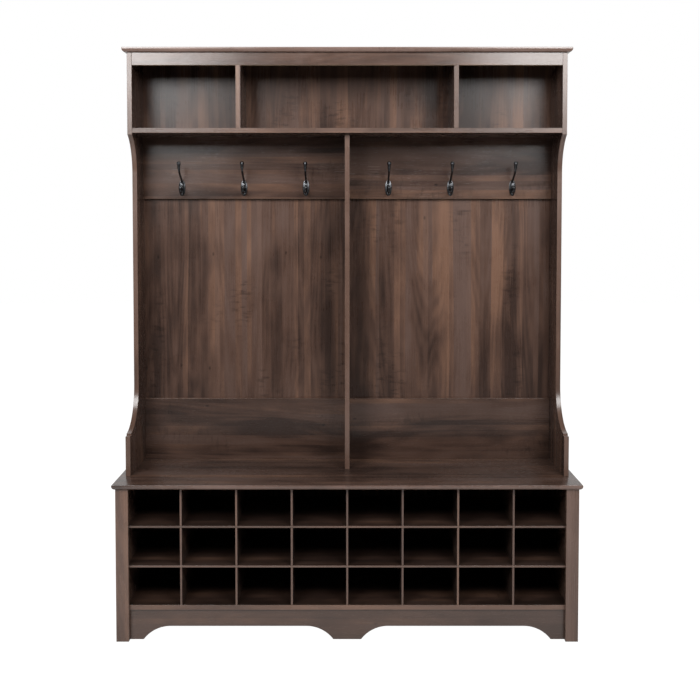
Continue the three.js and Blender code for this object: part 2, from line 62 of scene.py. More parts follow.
# The mean tone of the walnut print, and the paler paper that shows where an edge is rubbed.
PRINT_MEAN: Colour = (0.082, 0.050, 0.037)
WORN_LAMINATE: Colour = (0.20, 0.150, 0.118)


class Axis(Enum):
    """One direction of the frame, with its place in a coordinate."""

    X = 0
    Y = 1
    Z = 2


class Grain(Enum):
    """The way the printed grain runs on a board."""

    LEVEL = Axis.X
    DEEP = Axis.Y
    UPRIGHT = Axis.Z


# ---------------------------------------------------------------------------------------------------------
# Meshes as whole arrays
# ---------------------------------------------------------------------------------------------------------


@dataclass
class Shell:
    """A closed surface: its points, its faces, and which finish and shading each face takes."""

    points: np.ndarray
    faces: list[tuple[int, ...]]
    finish_of: np.ndarray
    smooth: bool = True
    wear: np.ndarray | None = None


def signed_volume(points: np.ndarray, faces: Sequence[Sequence[int]]) -> float:
    """Adds up, face by face, a sixth of the box product of its fan of triangles with the origin.

    Args:
        points: The corners, one row each.
        faces: Corner numbers of each face.

    Returns:
        The volume, negative when the faces look inwards.
    """
    fans = [(f[0], f[i], f[i + 1]) for f in faces for i in range(1, len(f) - 1)]
    tri = points[np.array(fans)]
    return float(np.einsum("ij,ij->i", tri[:, 0], np.cross(tri[:, 1], tri[:, 2])).sum() / 6)


def facing_out(shell: Shell) -> Shell:
    """Turns every face round if the shell is inside out."""
    if signed_volume(shell.points, shell.faces) < 0:
        shell.faces = [tuple(reversed(f)) for f in shell.faces]
    return shell


def joined(shells: Sequence[Shell]) -> Shell:
    """Puts several closed shells into one, renumbering the corners of each after those before it."""
    starts = np.cumsum([0] + [len(s.points) for s in shells[:-1]])
    faces = [tuple(int(start) + i for i in f) for s, start in zip(shells, starts) for f in s.faces]
    wear = np.concatenate([s.wear if s.wear is not None else np.zeros(len(s.points)) for s in shells])
    return Shell(
        np.concatenate([s.points for s in shells]),
        faces,
        np.concatenate([s.finish_of for s in shells]),
        shells[0].smooth,
        wear,
    )


def grid_faces(rows: int, columns: int, wrap_rows: bool, wrap_columns: bool) -> list[tuple[int, ...]]:
    """The four-cornered faces of a grid of points numbered row by row.

    Args:
        rows: Number of rows.
        columns: Number of points in a row.
        wrap_rows: Whether the last row joins the first.
        wrap_columns: Whether the last point of a row joins its first.

    Returns:
        One tuple of corner numbers for each face.
    """
    i = np.arange(rows if wrap_rows else rows - 1)[:, None]
    j = np.arange(columns if wrap_columns else columns - 1)[None, :]
    here, right = i * columns + j, i * columns + (j + 1) % columns
    below = (i + 1) % rows * columns
    quads = np.stack([here, right, below + (j + 1) % columns, below + j], axis=-1)
    return [tuple(map(int, q)) for q in quads.reshape(-1, 4)]


def swept(rings: np.ndarray, wear: np.ndarray | None = None) -> Shell:
    """Joins a stack of equal rings into a tube and shuts it with a flat face at each end.

    Args:
        rings: Points in the shape (rings, points of a ring, 3).
        wear: How worn each point is, in the shape (rings, points of a ring).

    Returns:
        The closed shell, facing outwards.
    """
    rows, columns = rings.shape[:2]
    faces = grid_faces(rows, columns, False, True)
    faces.append(tuple(reversed(range(columns))))
    faces.append(tuple(range((rows - 1) * columns, rows * columns)))
    flat = None if wear is None else wear.reshape(-1)
    return facing_out(Shell(rings.reshape(-1, 3), faces, np.zeros(len(faces), int), True, flat))


def lathed(profile: np.ndarray, sides: int) -> np.ndarray:
    """Turns a profile round the Y axis: a point (r, y) goes to (r cos a, y, r sin a) for each angle a.

    Args:
        profile: Rows of radius and place along the axis.
        sides: Points in each ring.

    Returns:
        The rings, in the shape (profile points, sides, 3).
    """
    angle = np.linspace(0, 2 * np.pi, sides, endpoint=False)[None, :]
    r, y = profile[:, :1], profile[:, 1:]
    return np.stack([r * np.cos(angle), y + 0 * angle, r * np.sin(angle)], axis=-1)


def smooth_path(knots: np.ndarray, count: int) -> np.ndarray:
    """Runs a curve through the knots: between two of them it is the cubic that leaves and arrives along
    half the chord of their neighbours, sampled at even steps of its parameter.

    Args:
        knots: Points to pass through, one row each.
        count: How many points to return.

    Returns:
        Points on the curve, one row each.
    """
    padded = np.concatenate([2 * knots[:1] - knots[1:2], knots, 2 * knots[-1:] - knots[-2:-1]])
    t = np.linspace(0, len(knots) - 1, count)
    k = np.minimum(t.astype(int), len(knots) - 2)
    u = (t - k)[:, None]
    p0, p1, p2, p3 = (padded[k + i] for i in range(4))
    leave, arrive = (p2 - p0) / 2, (p3 - p1) / 2
    return (
        (2 * u**3 - 3 * u**2 + 1) * p1
        + (u**3 - 2 * u**2 + u) * leave
        + (3 * u**2 - 2 * u**3) * p2
        + (u**3 - u**2) * arrive
    )


def tube(path: np.ndarray, radius: np.ndarray, sides: int) -> np.ndarray:
    """Carries a circle of changing radius along a path in the (Y, Z) plane. Each ring lies square to the
    path: its point at angle a is the centre plus r cos a along X plus r sin a along the path's normal.

    Args:
        path: Centres, as rows of (y, z).
        radius: The radius at each centre.
        sides: Points in each ring.

    Returns:
        The rings, in the shape (centres, sides, 3).
    """
    along = np.gradient(path, axis=0)
    along /= np.linalg.norm(along, axis=1, keepdims=True)
    normal = np.stack([-along[:, 1], along[:, 0]], axis=1)
    angle = np.linspace(0, 2 * np.pi, sides, endpoint=False)[None, :]
    r = radius[:, None]
    across = r * np.cos(angle)
    y = path[:, :1] + r * np.sin(angle) * normal[:, :1]
    z = path[:, 1:] + r * np.sin(angle) * normal[:, 1:]
    return np.stack([across, y, z], axis=-1)


def arc(centre: Span, radius: float, start: float, end: float, steps: int) -> np.ndarray:
    """Points on a circle: the centre plus the radius times (cos a, sin a), a going from start to end."""
    a = np.linspace(start, end, steps)
    return np.stack([centre[0] + radius * np.cos(a), centre[1] + radius * np.sin(a)], axis=1)


def rectangle(u: Span, v: Span) -> np.ndarray:
    """The four corners of a rectangle over the spans u and v."""
    return np.array([(u[0], v[0]), (u[1], v[0]), (u[1], v[1]), (u[0], v[1])])


def slab(outline: np.ndarray, axis: Axis, span: Span) -> Shell:
    """Carries a flat outline straight along an axis: each corner (u, v) is set at both ends of the span,
    and the other two coordinates take u and v in the order X, Y, Z.

    Args:
        outline: Corners in order, as rows of (u, v).
        axis: The axis the outline is carried along, which is the board's thickness.
        span: Where it starts and ends on that axis.

    Returns:
        A closed shell. The two broad faces take finish 0 and the edges take finish 1, or 2 where an edge
        looks down or towards the wall.
    """
    count = len(outline)
    others = [i for i in range(3) if i != axis.value]
    points = np.zeros((2 * count, 3))
    points[:count, axis.value], points[count:, axis.value] = span
    points[:, others] = np.tile(outline, (2, 1))
    i = np.arange(count)
    j = (i + 1) % count
    sides = np.stack([i, j, j + count, i + count], axis=1)
    faces = [tuple(map(int, s)) for s in sides]
    faces += [tuple(range(count - 1, -1, -1)), tuple(range(count, 2 * count))]
    shell = facing_out(Shell(points, faces, np.zeros(len(faces), int)))
    quad = points[np.array(shell.faces[:count])]
    normal = np.cross(quad[:, 1] - quad[:, 0], quad[:, 2] - quad[:, 1])
    normal /= np.maximum(np.linalg.norm(normal, axis=1, keepdims=True), 1e-12)
    hidden = (normal[:, 2] < -0.9) | (normal[:, 1] > 0.9)
    shell.finish_of[:count] = np.where(hidden, 2, 1)
    return shell


def moulded_slab(span: Span, front: float, back: float, profile: np.ndarray) -> Shell:
    """A top whose edge profile runs round the front and both ends and meets itself in mitres. A profile
    point (inset, height) makes one U-shaped line: the back left corner, the front left, the front right
    and the back right of the outline, moved in by the inset and set at the height.

    Args:
        span: The outline's ends on X.
        front: The outline's front on Y.
        back: Where the slab meets the wall.
        profile: Rows of (inset, height), from the top face to the underside.

    Returns:
        The closed shell, with finish 0 on its faces and 2 on its moulded edge.
    """
    inset, height = profile[:, 0], profile[:, 1]
    x = np.stack([span[0] + inset, span[0] + inset, span[1] - inset, span[1] - inset], axis=1)
    y = np.stack([back + 0 * inset, front + inset, front + inset, back + 0 * inset], axis=1)
    z = np.repeat(height[:, None], 4, axis=1)
    rows = len(profile)
    points = np.stack([x, y, z], axis=-1).reshape(-1, 3)
    faces = grid_faces(rows, 4, False, False)
    faces.append((3, 2, 1, 0))
    faces.append(tuple((rows - 1) * 4 + i for i in range(4)))
    left, right = [i * 4 for i in range(rows)], [i * 4 + 3 for i in range(rows)]
    faces.append(tuple(left + right[::-1]))
    finish = np.zeros(len(faces), int)
    finish[: 3 * (rows - 1)] = 2
    return facing_out(Shell(points, faces, finish))


def placed(name: str, shell: Shell, finishes: Sequence[bpy.types.Material]) -> bpy.types.Object:
    """Makes the object of a shell and lets it ride on the body.

    Args:
        name: The piece's name.
        shell: Its surface.
        finishes: Its materials, in the order of the shell's finish numbers.

    Returns:
        The object, at the origin, with its place in its mesh.
    """
    mesh = bpy.data.meshes.new(name)
    mesh.from_pydata(shell.points.tolist(), [], shell.faces)
    for finish in finishes:
        mesh.materials.append(finish)
    mesh.polygons.foreach_set("material_index", np.minimum(shell.finish_of, len(finishes) - 1))
    mesh.polygons.foreach_set("use_smooth", np.full(len(mesh.polygons), shell.smooth))
    if shell.wear is not None:
        mesh.attributes.new("wear", "FLOAT", "POINT").data.foreach_set("value", shell.wear.astype(np.float32))
    mesh.validate()
    piece = bpy.data.objects.new(name, mesh)
    bpy.context.scene.collection.objects.link(piece)
    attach(piece, BODY)
    log.info("%s: %d faces", name, len(mesh.polygons))
    return piece


def eased(piece: bpy.types.Object, width: float, segments: int = 2) -> bpy.types.Object:
    """Rounds the piece's sharp edges slightly and keeps its broad faces flat in the light.

    Args:
        piece: The object to finish.
        width: The size of the rounding.
        segments: Faces across it.

    Returns:
        The same object.
    """
    bevel = piece.modifiers.new("eased_edges", "BEVEL")
    bevel.width = width
    bevel.segments = segments
    bevel.limit_method = "ANGLE"
    bevel.angle_limit = math.radians(35)
    bevel.harden_normals = True
    return piece


# ---------------------------------------------------------------------------------------------------------
# Finishes
# ---------------------------------------------------------------------------------------------------------


class Recipe:
    """Writes the nodes of one material or node group in few words."""

    def __init__(self, tree: bpy.types.NodeTree) -> None:
        """Starts on an empty tree."""
        self.tree = tree
        tree.nodes.clear()

    def node(self, kind: str, **settings: object) -> bpy.types.Node:
        """Adds a node and sets its named properties."""
        made = self.tree.nodes.new(kind)
        for key, value in settings.items():
            setattr(made, key, value)
        return made

    def feed(self, socket: bpy.types.NodeSocket, value: object) -> None:
        """Links an output to a socket, or sets a plain value on it."""
        if isinstance(value, bpy.types.NodeSocket):
            self.tree.links.new(value, socket)
        else:
            socket.default_value = value

    def math(self, operation: str, a: object, b: object = 0.0, c: object = 0.0) -> bpy.types.NodeSocket:
        """One Math node on up to three numbers."""
        made = self.node("ShaderNodeMath", operation=operation)
        for socket, value in zip(made.inputs, (a, b, c)):
            self.feed(socket, value)
        return made.outputs[0]

    def vector(self, operation: str, a: object, b: object) -> bpy.types.NodeSocket:
        """One Vector Math node on two vectors."""
        made = self.node("ShaderNodeVectorMath", operation=operation)
        self.feed(made.inputs[0], a)
        self.feed(made.inputs[1], b)
        return made.outputs[0]

    def scaled(self, colour: object, factor: object) -> bpy.types.NodeSocket:
        """A colour or vector times a number."""
        made = self.node("ShaderNodeVectorMath", operation="SCALE")
        self.feed(made.inputs[0], colour)
        self.feed(made.inputs["Scale"], factor)
        return made.outputs[0]

    def noise(self, at: object, scale: float, detail: float, roughness: float = 0.5) -> bpy.types.NodeSocket:
        """A noise field between 0 and 1."""
        made = self.node("ShaderNodeTexNoise")
        self.feed(made.inputs["Vector"], at)
        made.inputs["Scale"].default_value = scale
        made.inputs["Detail"].default_value = detail
        made.inputs["Roughness"].default_value = roughness
        return made.outputs["Fac"]

    def ramp(
        self, value: object, stops: Iterable[tuple[float, Colour]], ease: bool = False
    ) -> bpy.types.NodeSocket:
        """Turns a number into a colour through the stops, straight or eased between them."""
        made = self.node("ShaderNodeValToRGB")
        made.color_ramp.interpolation = "EASE" if ease else "LINEAR"
        elements = made.color_ramp.elements
        for i, (place, colour) in enumerate(stops):
            element = elements[i] if i < len(elements) else elements.new(place)
            element.position = place
            element.color = (*colour, 1.0)
        self.feed(made.inputs[0], value)
        return made.outputs["Color"]

    def between(self, value: object, low: float, high: float, to: Span = (0.0, 1.0)) -> bpy.types.NodeSocket:
        """Maps a number smoothly from the range low to high onto another range, held at its ends."""
        made = self.node("ShaderNodeMapRange", interpolation_type="SMOOTHSTEP")
        self.feed(made.inputs[0], value)
        for i, v in enumerate((low, high, *to), start=1):
            made.inputs[i].default_value = v
        return made.outputs[0]

    def blend(self, factor: object, a: object, b: object) -> bpy.types.NodeSocket:
        """Mixes two colours."""
        made = self.node("ShaderNodeMix", data_type="RGBA")
        self.feed(made.inputs[0], factor)
        self.feed(made.inputs[6], a if isinstance(a, bpy.types.NodeSocket) else (*a, 1.0))
        self.feed(made.inputs[7], b if isinstance(b, bpy.types.NodeSocket) else (*b, 1.0))
        return made.outputs[2]

    def split(self, vector: object) -> tuple[bpy.types.NodeSocket, ...]:
        """The three coordinates of a vector."""
        made = self.node("ShaderNodeSeparateXYZ")
        self.feed(made.inputs[0], vector)
        return tuple(made.outputs)

    def merge(self, x: object, y: object, z: object) -> bpy.types.NodeSocket:
        """A vector out of three coordinates."""
        made = self.node("ShaderNodeCombineXYZ")
        for socket, value in zip(made.inputs, (x, y, z)):
            self.feed(socket, value)
        return made.outputs[0]


@dataclass(frozen=True)
class WalnutPrint:
    """The printed walnut figure, as one node group that every laminate shares.

    Its tones are the linear colours of the deep streaks, the brown ground, the warm tan bands and the
    cooler grey bands.
    """

    deep: Colour = (0.036, 0.020, 0.015)
    brown: Colour = (0.078, 0.043, 0.031)
    tan: Colour = (0.156, 0.084, 0.055)
    grey: Colour = (0.104, 0.064, 0.051)
    band_width: float = 0.095

    def group(self) -> bpy.types.NodeTree:
        """Builds the group once. Input: grain coordinates in metres, X along the grain.

        Returns:
            A group with the inputs Grain, Seed and Figure and the outputs Colour, Gloss and Height.
        """
        made = bpy.data.node_groups.get("walnut_print")
        if made:
            return made
        tree = bpy.data.node_groups.new("walnut_print", "ShaderNodeTree")
        face = tree.interface
        face.new_socket("Grain", in_out="INPUT", socket_type="NodeSocketVector")
        face.new_socket("Seed", in_out="INPUT", socket_type="NodeSocketFloat")
        face.new_socket("Figure", in_out="INPUT", socket_type="NodeSocketFloat")
        face.new_socket("Colour", in_out="OUTPUT", socket_type="NodeSocketColor")
        face.new_socket("Gloss", in_out="OUTPUT", socket_type="NodeSocketFloat")
        face.new_socket("Height", in_out="OUTPUT", socket_type="NodeSocketFloat")
        r = Recipe(tree)
        given = r.node("NodeGroupInput")
        seeded = r.vector("ADD", given.outputs["Grain"], r.scaled((3.7, 1.9, 0.6), given.outputs["Seed"]))

        # The grain wanders: its place across shifts by up to a centimetre, slowly along the board.
        drift = r.noise(r.vector("MULTIPLY", seeded, (1.1, 3.0, 1.0)), 1.0, 2.0)
        x, y, z = r.split(seeded)
        across = r.math("MULTIPLY_ADD", r.math("SUBTRACT", drift, 0.5), 0.022, y)

        # Sliced bands: every point takes the tint of the nearest of a row of unevenly spaced lines, and
        # brightens from one side of that line to the other, so that each band is soft on one side and ends
        # in a sharp edge on the other.
        cells = r.node("ShaderNodeTexVoronoi", voronoi_dimensions="1D")
        banded = r.math("MULTIPLY", across, 1 / self.band_width)
        r.feed(cells.inputs["W"], banded)
        tint, hue, _ = r.split(cells.outputs["Color"])
        slope = r.math("SUBTRACT", banded, cells.outputs["W"])
        wide_at = r.merge(r.math("MULTIPLY", x, 1.9), r.math("MULTIPLY", across, 8.5), z)
        wide = r.noise(wide_at, 1.0, 3.0, 0.5)
        tone = r.math("ADD", r.math("MULTIPLY", tint, 0.30), r.math("MULTIPLY_ADD", wide, 1.35, -0.22))
        tone = r.math("MULTIPLY_ADD", slope, 0.26, tone)

        # Growth lines: level lines of a field drawn out along the grain, so that they close in arches.
        field_at = r.merge(r.math("MULTIPLY", x, 0.9), r.math("MULTIPLY", across, 7.0), z)
        rings = r.math("SINE", r.math("MULTIPLY", r.noise(field_at, 1.0, 1.5, 0.4), 120.0))
        streak_at = r.merge(r.math("MULTIPLY", x, 6.0), r.math("MULTIPLY", across, 230.0), z)
        streaks = r.noise(streak_at, 1.0, 4.0, 0.62)
        soft_at = r.merge(r.math("MULTIPLY", x, 6.5), r.math("MULTIPLY", across, 24.0), z)
        soft = r.noise(soft_at, 1.0, 3.0, 0.55)
        tone = r.math("MULTIPLY_ADD", r.math("SUBTRACT", soft, 0.5), 0.50, tone)
        tone = r.math("MULTIPLY_ADD", rings, 0.048, tone)

        ground = r.ramp(tone, [(0.34, self.deep), (0.60, self.brown), (0.95, self.tan)])
        greyed = r.ramp(tone, [(0.34, self.deep), (0.60, self.brown), (0.95, self.grey)])
        colour = r.blend(r.between(hue, 0.50, 0.62), ground, greyed)

        # Curl: short dark arcs across the grain, in the few patches where a slow noise lets them show.
        curl_at = r.merge(r.math("MULTIPLY", x, 95.0), r.math("MULTIPLY", across, 26.0), z)
        arcs = r.between(r.noise(curl_at, 1.0, 2.0, 0.55), 0.50, 0.68)
        show = r.between(r.noise(r.vector("MULTIPLY", seeded, (3.4, 9.0, 1.0)), 1.0, 1.0), 0.50, 0.70)
        darker = r.math("MULTIPLY", given.outputs["Figure"], -0.38)
        curl = r.math("MULTIPLY", r.math("MULTIPLY", arcs, show), darker)

        # Pores: fine dark dashes. Flecks: small knots drawn out along the grain, in one cell out of six.
        pore_at = r.merge(r.math("MULTIPLY", x, 38.0), r.math("MULTIPLY", across, 900.0), z)
        pores = r.between(r.noise(pore_at, 1.0, 2.0), 0.60, 0.72)
        fleck = r.node("ShaderNodeTexVoronoi", voronoi_dimensions="2D")
        fleck_at = r.merge(r.math("MULTIPLY", x, 5.0), r.math("MULTIPLY", across, 9.0), z)
        r.feed(fleck.inputs["Vector"], fleck_at)
        fleck.inputs["Scale"].default_value = 1.0
        chosen = r.math("GREATER_THAN", r.split(fleck.outputs["Color"])[0], 0.84)
        knots = r.math("MULTIPLY", r.between(fleck.outputs["Distance"], 0.012, 0.050, (0.5, 0.0)), chosen)

        shade = r.math("MULTIPLY_ADD", r.math("SUBTRACT", streaks, 0.5), 0.34, 1.0)
        shade = r.math("ADD", shade, curl)
        shade = r.math("MULTIPLY", shade, r.math("MULTIPLY_ADD", pores, -0.22, 1.0))
        shade = r.math("MULTIPLY", shade, r.math("SUBTRACT", 1.0, knots))
        out = r.node("NodeGroupOutput")
        r.feed(out.inputs["Colour"], r.scaled(colour, r.math("MAXIMUM", shade, 0.05)))
        dull = r.math("ADD", r.math("MULTIPLY", streaks, 0.10), r.math("MULTIPLY", pores, 0.08))
        r.feed(out.inputs["Gloss"], dull)
        height = r.math("SUBTRACT", r.math("MULTIPLY", streaks, 0.5), r.math("MULTIPLY", pores, 0.6))
        r.feed(out.inputs["Height"], height)
        return tree


def edge_group() -> bpy.types.NodeTree:
    """A group that says how near a point of a board is to one of its edges.

    With q the distance in from each pair of faces of the board's box, the middle one of the three is the
    distance to the nearest edge, because on a face the smallest is nothing.

    Returns:
        A group with the inputs Place, Centre and Half and the output Distance, in metres.
    """
    made = bpy.data.node_groups.get("edge_distance")
    if made:
        return made
    tree = bpy.data.node_groups.new("edge_distance", "ShaderNodeTree")
    for name in ("Place", "Centre", "Half"):
        tree.interface.new_socket(name, in_out="INPUT", socket_type="NodeSocketVector")
    tree.interface.new_socket("Distance", in_out="OUTPUT", socket_type="NodeSocketFloat")
    r = Recipe(tree)
    given = r.node("NodeGroupInput")
    offset = r.vector("SUBTRACT", given.outputs["Place"], given.outputs["Centre"])
    inward = r.vector("SUBTRACT", given.outputs["Half"], r.vector("ABSOLUTE", offset, (0, 0, 0)))
    a, b, c = r.split(inward)
    low, high = r.math("MINIMUM", a, b), r.math("MAXIMUM", a, b)
    out = r.node("NodeGroupOutput")
    r.feed(out.inputs["Distance"], r.math("MAXIMUM", low, r.math("MINIMUM", high, c)))
    return tree


@dataclass(frozen=True)
class Laminate:
    """A walnut-print laminate: how bright its print is, how glossy its skin, and how much curl it shows."""

    name: str
    brightness: float = 1.0
    roughness: float = 0.36
    figure: float = 1.0
    specular: float = 0.5
    wear: float = 0.35
    flatten: float = 0.0

    def on(
        self, piece_name: str, box: tuple[Vector, Vector], grain: Grain, through: Axis, seed: float
    ) -> bpy.types.Material:
        """Makes this laminate for one board.

        Args:
            piece_name: The board's name, used in the material's name.
            box: The board's lowest and highest corners.
            grain: The way the print runs.
            through: The axis that goes through the board, square to the printed face.
            seed: A number that picks the board's own part of the print.

        Returns:
            The material.
        """
        material = bpy.data.materials.new(f"{self.name}_{piece_name}")
        material.use_nodes = True
        r = Recipe(material.node_tree)
        place = r.node("ShaderNodeTexCoord").outputs["Object"]
        sides = r.split(place)
        across = next(a for a in Axis if a not in (grain.value, through))
        figure = r.node("ShaderNodeGroup", node_tree=WalnutPrint().group())
        r.feed(figure.inputs["Grain"], r.merge(*(sides[a.value] for a in (grain.value, across, through))))
        figure.inputs["Seed"].default_value = seed
        figure.inputs["Figure"].default_value = self.figure

        edges = r.node("ShaderNodeGroup", node_tree=edge_group())
        r.feed(edges.inputs["Place"], place)
        edges.inputs["Centre"].default_value = (box[0] + box[1]) / 2
        edges.inputs["Half"].default_value = (box[1] - box[0]) / 2
        rough_edge = r.math("MULTIPLY_ADD", r.noise(place, 60.0, 3.0), 0.0016, edges.outputs["Distance"])
        worn = r.between(rough_edge, 0.0004, 0.0016, (self.wear, 0.0))

        # Handling leaves a faint cloudiness that dulls the skin and lifts its colour a little.
        cloud = r.between(r.noise(place, 5.0, 4.0, 0.6), 0.35, 0.75)
        # The brightness scales the print; on the fascia, moulding, edge and grid laminates it paints light or
        # shade.
        toned = r.vector("MULTIPLY", figure.outputs["Colour"], (self.brightness,) * 3)
        mean = tuple(self.brightness * v for v in PRINT_MEAN)
        calmed = r.blend(self.flatten, toned, mean)
        aired = r.scaled(calmed, r.math("MULTIPLY_ADD", cloud, 0.10, 0.95))
        colour = r.blend(worn, aired, tuple(self.brightness * v for v in WORN_LAMINATE))
        printed = r.math("ADD", figure.outputs["Gloss"], self.roughness - 0.09)
        gloss = r.math("MULTIPLY_ADD", cloud, 0.07, printed)

        bump = r.node("ShaderNodeBump")
        bump.inputs["Strength"].default_value = 0.06
        bump.inputs["Distance"].default_value = 0.0002
        r.feed(bump.inputs["Height"], figure.outputs["Height"])
        skin = r.node("ShaderNodeBsdfPrincipled")
        r.feed(skin.inputs["Base Color"], colour)
        r.feed(skin.inputs["Roughness"], r.math("MULTIPLY_ADD", worn, 0.15, gloss))
        r.feed(skin.inputs["Normal"], bump.outputs[0])
        skin.inputs["Specular IOR Level"].default_value = self.specular
        skin.inputs["Sheen Weight"].default_value = 0.006
        skin.inputs["Sheen Roughness"].default_value = 0.5
        r.feed(r.node("ShaderNodeOutputMaterial").inputs["Surface"], skin.outputs[0])
        return material


@dataclass(frozen=True)
class Fibreboard:
    """Unfaced board: pressed chips or fibres, seen on hidden edges and on the rear of the thin backs."""

    name: str
    dark: Colour
    light: Colour
    chip: float
    roughness: float = 0.8

    def on_any(self) -> bpy.types.Material:
        """Makes the finish once and hands the same material to every piece."""
        made = bpy.data.materials.get(self.name)
        if made:
            return made
        material = bpy.data.materials.new(self.name)
        material.use_nodes = True
        r = Recipe(material.node_tree)
        place = r.node("ShaderNodeTexCoord").outputs["Object"]
        chips = r.node("ShaderNodeTexVoronoi", feature="F1")
        r.feed(chips.inputs["Vector"], place)
        chips.inputs["Scale"].default_value = 1 / self.chip
        tint, _, _ = r.split(chips.outputs["Color"])
        fibres = r.noise(place, 900.0, 4.0, 0.7)
        clouds = r.noise(place, 4.0, 4.0)
        mix = r.math("ADD", r.math("MULTIPLY", tint, 0.45), r.math("MULTIPLY", fibres, 0.55))
        mix = r.math("ADD", mix, r.math("MULTIPLY", r.math("SUBTRACT", clouds, 0.5), 0.35))
        bump = r.node("ShaderNodeBump")
        bump.inputs["Strength"].default_value = 0.5
        bump.inputs["Distance"].default_value = 0.0004
        r.feed(bump.inputs["Height"], mix)
        skin = r.node("ShaderNodeBsdfPrincipled")
        r.feed(skin.inputs["Base Color"], r.ramp(mix, [(0.2, self.dark), (0.85, self.light)]))
        r.feed(skin.inputs["Roughness"], r.math("MULTIPLY_ADD", fibres, 0.2, self.roughness - 0.1))
        r.feed(skin.inputs["Normal"], bump.outputs[0])
        skin.inputs["Specular IOR Level"].default_value = 0.3
        skin.inputs["Sheen Weight"].default_value = 0.1
        r.feed(r.node("ShaderNodeOutputMaterial").inputs["Surface"], skin.outputs[0])
        return material


@dataclass(frozen=True)
class Casting:
    """A hard, smooth finish on cast, turned or moulded pieces, rubbed bare where the wear attribute says."""

    name: str
    colour: Colour
    rubbed: Colour
    metallic: float
    roughness: float
    grit: float = 0.0002

    def on_any(self) -> bpy.types.Material:
        """Makes the finish once and hands the same material to every piece."""
        made = bpy.data.materials.get(self.name)
        if made:
            return made
        material = bpy.data.materials.new(self.name)
        material.use_nodes = True
        r = Recipe(material.node_tree)
        place = r.node("ShaderNodeTexCoord").outputs["Object"]
        wear = r.node("ShaderNodeAttribute", attribute_name="wear").outputs["Fac"]
        patches = r.noise(place, 260.0, 5.0, 0.65)
        smears = r.noise(place, 45.0, 3.0)
        bare = r.math("MULTIPLY", r.between(r.math("MULTIPLY_ADD", wear, 0.45, patches), 0.62, 0.95), wear)
        tone = r.blend(smears, tuple(0.75 * c for c in self.colour), tuple(1.25 * c for c in self.colour))
        bump = r.node("ShaderNodeBump")
        bump.inputs["Strength"].default_value = 0.25
        bump.inputs["Distance"].default_value = self.grit
        r.feed(bump.inputs["Height"], r.noise(place, 700.0, 3.0))
        skin = r.node("ShaderNodeBsdfPrincipled")
        r.feed(skin.inputs["Base Color"], r.blend(bare, tone, self.rubbed))
        roughness = r.math("MULTIPLY_ADD", smears, 0.12, self.roughness - 0.04)
        r.feed(skin.inputs["Roughness"], r.math("MULTIPLY_ADD", bare, 0.10, roughness))
        r.feed(skin.inputs["Normal"], bump.outputs[0])
        skin.inputs["Metallic"].default_value = self.metallic
        r.feed(r.node("ShaderNodeOutputMaterial").inputs["Surface"], skin.outputs[0])
        return material


PANEL = Laminate("panel_laminate", brightness=0.76, roughness=0.26, specular=0.45)
RAIL = Laminate("rail_laminate", brightness=0.78, roughness=0.25, figure=0.7, specular=0.55)
KICK = Laminate("kick_laminate", brightness=0.95, roughness=0.24, figure=0.3, specular=0.7, flatten=0.5)
# Fascia: the same print at brightness 1.12, a lighter copy that paints the strong light falling on the top of
# the front.
FASCIA = Laminate("fascia_painted_light", brightness=1.12, roughness=0.25, figure=0.6, specular=0.6, flatten=0.2)
TOP = Laminate("top_laminate", brightness=0.76, roughness=0.28, figure=0.5, specular=0.35)
BACK = Laminate("back_laminate", brightness=0.95, roughness=0.30, specular=0.32)
# Moulded edges of the tops: the print at brightness 1.5, a lighter copy that paints the light caught by the
# front-facing mouldings.
MOULDING = Laminate("moulded_edge_painted_light", brightness=1.5, roughness=0.30, figure=0.3, specular=0.85, wear=0.15)
# Shoe grid and bench floor: the same walnut print at brightness 0.42, a darker copy that paints the shade
# inside the shoe cubbies.
SHADED = Laminate("grid_painted_shade", brightness=0.42, roughness=0.35, specular=0.25)
# Edge bands and stiles: the band's own paler taupe, brightened further to 1.38 as painted light on the front
# edges that face the lights.
EDGE = Laminate("edge_band_with_painted_light", brightness=1.38, roughness=0.29, figure=0.2, specular=0.6, flatten=0.45)
CORE = Fibreboard("chipboard_core", (0.16, 0.10, 0.055), (0.42, 0.30, 0.18), 0.0016)
HARDBOARD = Fibreboard("hardboard_rear", (0.075, 0.038, 0.020), (0.21, 0.118, 0.065), 0.0012)
BLACK_CASTING = Casting("black_casting", (0.066, 0.068, 0.072), (0.24, 0.24, 0.24), 1.0, 0.22)
SCREW_STEEL = Casting("screw_steel", (0.075, 0.077, 0.081), (0.26, 0.26, 0.26), 1.0, 0.25)
PIN_STEEL = Casting("pin_steel", (0.36, 0.35, 0.34), (0.50, 0.49, 0.47), 1.0, 0.35)
GLIDE_PLASTIC = Casting("glide_plastic", (0.020, 0.017, 0.015), (0.06, 0.055, 0.05), 0.0, 0.5, 0.0006)


# ---------------------------------------------------------------------------------------------------------
# Boards
# ---------------------------------------------------------------------------------------------------------


